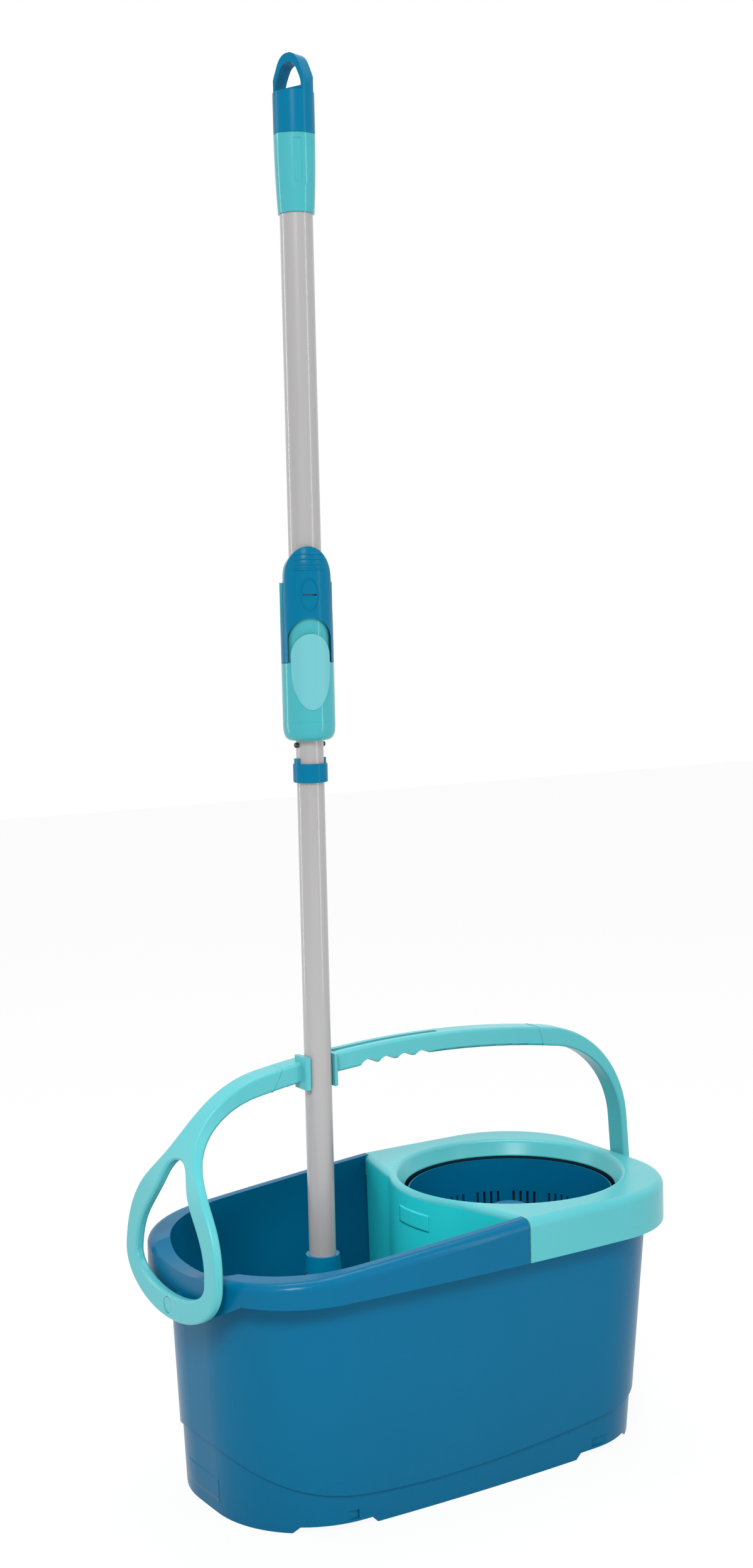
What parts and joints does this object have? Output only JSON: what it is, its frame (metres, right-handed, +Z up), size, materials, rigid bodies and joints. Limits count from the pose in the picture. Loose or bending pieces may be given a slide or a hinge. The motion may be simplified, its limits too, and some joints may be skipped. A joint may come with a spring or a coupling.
{
  "type": "spin mop",
  "caption": "Spin mop: two-tube pole mop with a twist-drive grip and round pad, clipped upright in the carrying bail of a blue bucket with a turquoise spin-basket insert.",
  "frame": {"origin": "On the floor, midway between the outer faces of the bail's two arms, in the bucket's plane of symmetry.", "axes": "+Z up along the pole; +X towards the spin-basket end of the bucket; -Y towards the front, the side the grips face."},
  "size_m": [0.5276, 0.2888, 1.294],
  "materials": {
    "blue_plastic": "satin moulded polypropylene",
    "turquoise_plastic": "satin moulded polypropylene",
    "turquoise_gloss": "smooth moulded plastic",
    "blue_gloss": "smooth moulded plastic",
    "turquoise_soft": "soft matt",
    "grey_lacquer": "light grey lacquer",
    "steel": "bright zinc",
    "white_plastic": "natural bearing plastic",
    "black_plastic": "satin",
    "pad_textile": "looped microfibre"
  },
  "bodies": {
    "bucket": {"bucket_shell": "blue_plastic", "spin_insert": "turquoise_plastic", "basket_axle": "steel", "axle_washer": "white_plastic", "axle_clip": "steel", "bail_pins": "turquoise_plastic"},
    "basket": {"spin_basket": "blue_plastic", "hub_cap": "blue_plastic", "basket_bush": "white_plastic"},
    "bail": {"bail": "turquoise_plastic"},
    "mop_grip": {"grip_housing_front": "turquoise_gloss", "grip_housing_back": "turquoise_gloss", "palm_pad": "turquoise_soft", "bearing_cap": "turquoise_gloss", "lower_bush": "white_plastic", "upper_bush": "white_plastic", "housing_screws": "steel"},
    "slider": {"lock_slider": "blue_gloss"},
    "upper_handle": {"upper_tube": "grey_lacquer", "top_grip": "turquoise_gloss", "hanging_cap": "blue_gloss", "drive_rod": "steel", "rod_anchor": "white_plastic"},
    "spinner": {"lower_tube": "grey_lacquer", "spiral_nut": "white_plastic", "retaining_ring": "steel", "button_spring": "steel", "mop_socket": "blue_gloss", "socket_screw": "steel"},
    "collar": {"release_collar": "blue_gloss"},
    "button_left": {"lock_button_left": "black_plastic"},
    "button_right": {"lock_button_right": "black_plastic"},
    "mop_head": {"swivel_pin": "steel", "mop_plate": "turquoise_plastic", "mop_pad": "pad_textile"}
  },
  "joints": [
    {"name": "basket_spin", "type": "hinge", "parent": "bucket", "child": "basket", "pos_m": [0.115, 0, 0.16], "axis": [0, 0, 1], "continuous": true},
    {"name": "bail_fold", "type": "hinge", "parent": "bucket", "child": "bail", "pos_m": [0, 0, 0.194], "axis": [1, 0, 0], "range_deg": [-100, 0]},
    {"name": "mop_lift", "type": "slide", "parent": "bucket", "child": "mop_grip", "axis": [0, 0, 1], "range_m": [0, 0.15]},
    {"name": "pump", "type": "slide", "parent": "mop_grip", "child": "upper_handle", "axis": [0, 0, 1], "range_m": [-0.1, 0]},
    {"name": "head_spin", "type": "hinge", "parent": "mop_grip", "child": "spinner", "pos_m": [-0.1085, -0.012, 0.7], "axis": [0, 0, 1], "range_deg": [0, 600.1]},
    {"name": "lock_slide", "type": "slide", "parent": "mop_grip", "child": "slider", "axis": [0, 0, 1], "range_m": [0, 0.008]},
    {"name": "collar_slide", "type": "slide", "parent": "spinner", "child": "collar", "axis": [0, 0, 1], "range_m": [0, 0.008]},
    {"name": "button_press_left", "type": "slide", "parent": "spinner", "child": "button_left", "axis": [1, 0, 0], "range_m": [0, 0.003], "stiffness_N_per_m": 600},
    {"name": "button_press_right", "type": "slide", "parent": "spinner", "child": "button_right", "axis": [-1, 0, 0], "range_m": [0, 0.003], "stiffness_N_per_m": 600},
    {"name": "head_tilt", "type": "hinge", "parent": "spinner", "child": "mop_head", "pos_m": [-0.1085, -0.012, 0.112], "axis": [1, 0, 0], "range_deg": [-20, 20]}
  ],
  "couplings": [
    {"joint": "head_spin", "follows": "pump", "rad_per_m": -104.72}
  ]
}
